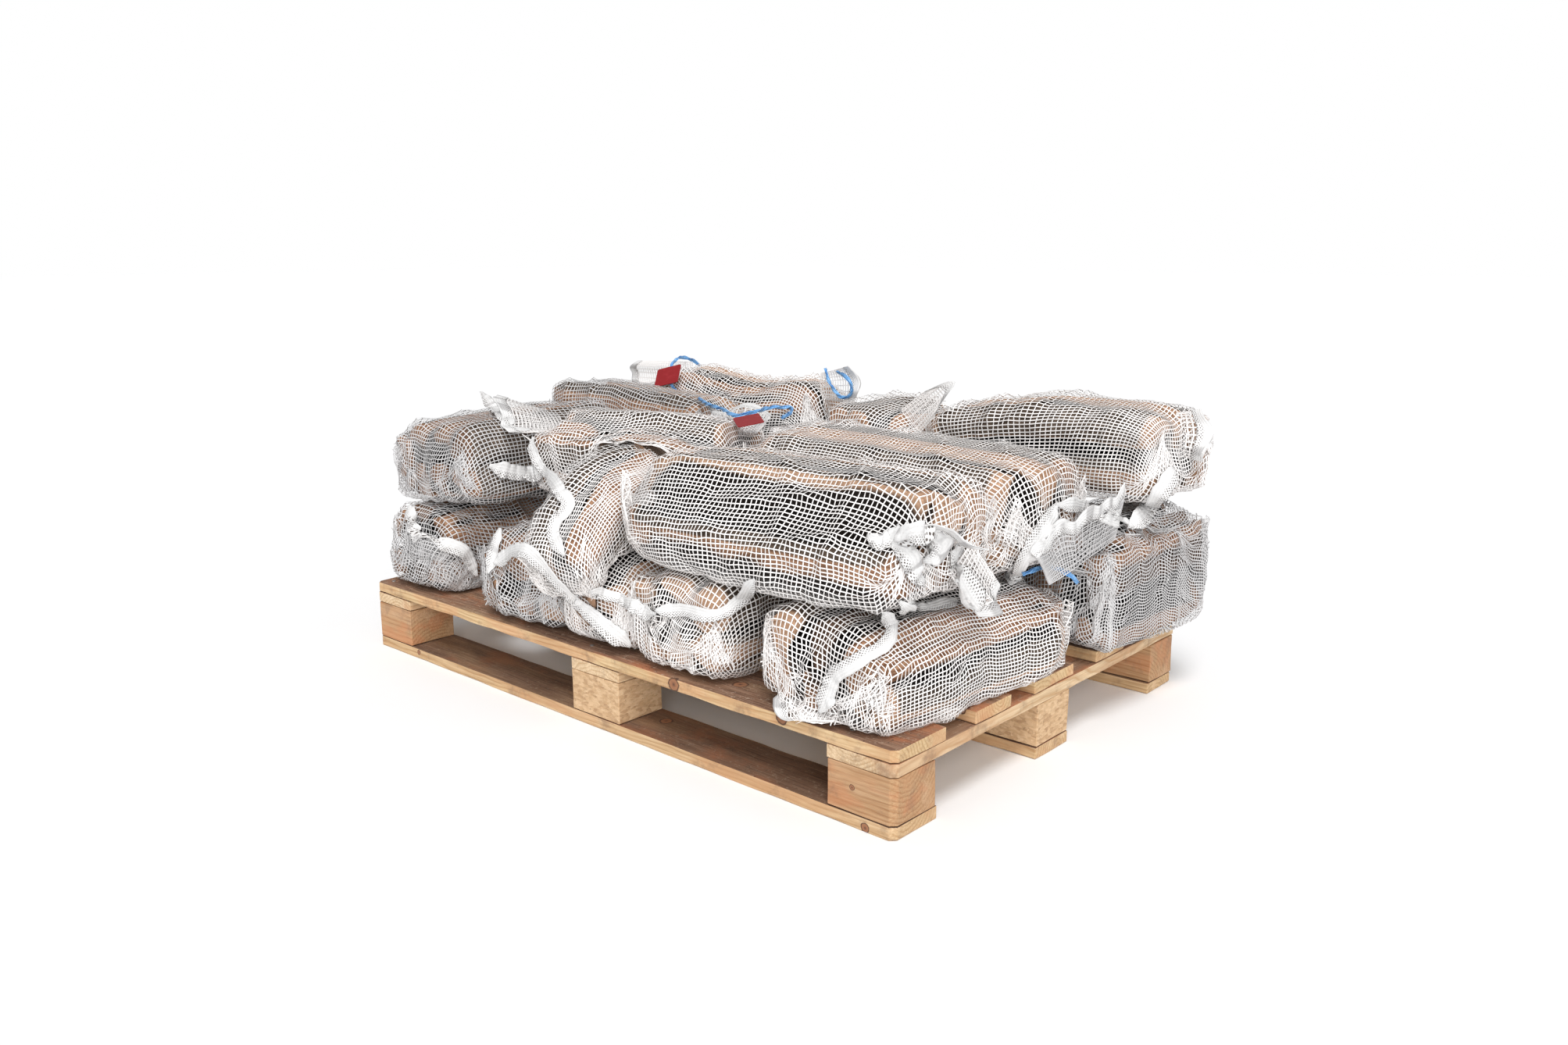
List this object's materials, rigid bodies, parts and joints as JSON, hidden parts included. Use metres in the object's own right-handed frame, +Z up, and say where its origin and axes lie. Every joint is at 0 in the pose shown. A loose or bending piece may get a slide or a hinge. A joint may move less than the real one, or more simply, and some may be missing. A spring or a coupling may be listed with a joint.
{
  "type": "pallet of net-sacked olive firewood",
  "caption": "Low four-way wooden pallet loaded with white net sacks of split olive firewood, tied with blue string.",
  "frame": {"origin": "on the floor, under the middle of the pallet", "axes": "+X along the pallet's long side, +Y across it, away from the side with the open ends of the sacks, +Z up"},
  "size_m": [1.3118, 0.9109, 0.527],
  "materials": {
    "deck_pine": "weathered sawn top, dusty",
    "stringer_pine": "sawn",
    "bottom_pine": "sawn",
    "block_pine": "sawn",
    "pressed_block": "pressed chips",
    "white_net": "woven plastic net",
    "white_hem": "dense woven band, sewn",
    "olive_log": "split, dry",
    "blue_string": "flat split film",
    "red_tag": "coated card, plain",
    "nail_steel": "dull nail head"
  },
  "bodies": {
    "root": {"bottom_board_front": "bottom_pine", "bottom_board_centre": "bottom_pine", "bottom_board_back": "bottom_pine", "block_left_front": "block_pine", "block_left_centre": "pressed_block", "block_left_back": "block_pine", "block_middle_front": "pressed_block", "block_middle_centre": "pressed_block", "block_middle_back": "pressed_block", "block_right_front": "block_pine", "block_right_centre": "pressed_block", "block_right_back": "block_pine", "stringer_left": "stringer_pine", "stringer_middle": "stringer_pine", "stringer_right": "stringer_pine", "deck_board_1": "deck_pine", "deck_board_2": "deck_pine", "deck_board_3": "deck_pine", "deck_board_4": "deck_pine", "deck_board_5": "deck_pine", "string_1": "blue_string", "string_2": "blue_string", "string_3": "blue_string", "string_4": "blue_string", "tag_1": "red_tag", "tag_2": "red_tag", "sack_low_front_1": "white_net", "sack_low_front_2": "white_net", "sack_low_front_3": "white_net", "sack_low_front_4": "white_net", "sack_low_front_5": "white_net", "sack_low_right": "white_net", "sack_low_back_1": "white_net", "sack_low_back_2": "white_net", "sack_low_back_3": "white_net", "sack_low_back_4": "white_net", "sack_top_front_1": "white_net", "sack_top_front_2": "white_net", "sack_top_front_3": "white_net", "sack_top_front_4": "white_net", "sack_top_right_1": "white_net", "sack_top_right_2": "white_net", "sack_top_back_1": "white_net", "sack_top_back_2": "white_net", "sack_top_back_3": "white_net", "sack_top_back_4": "white_net"}
  },
  "joints": []
}
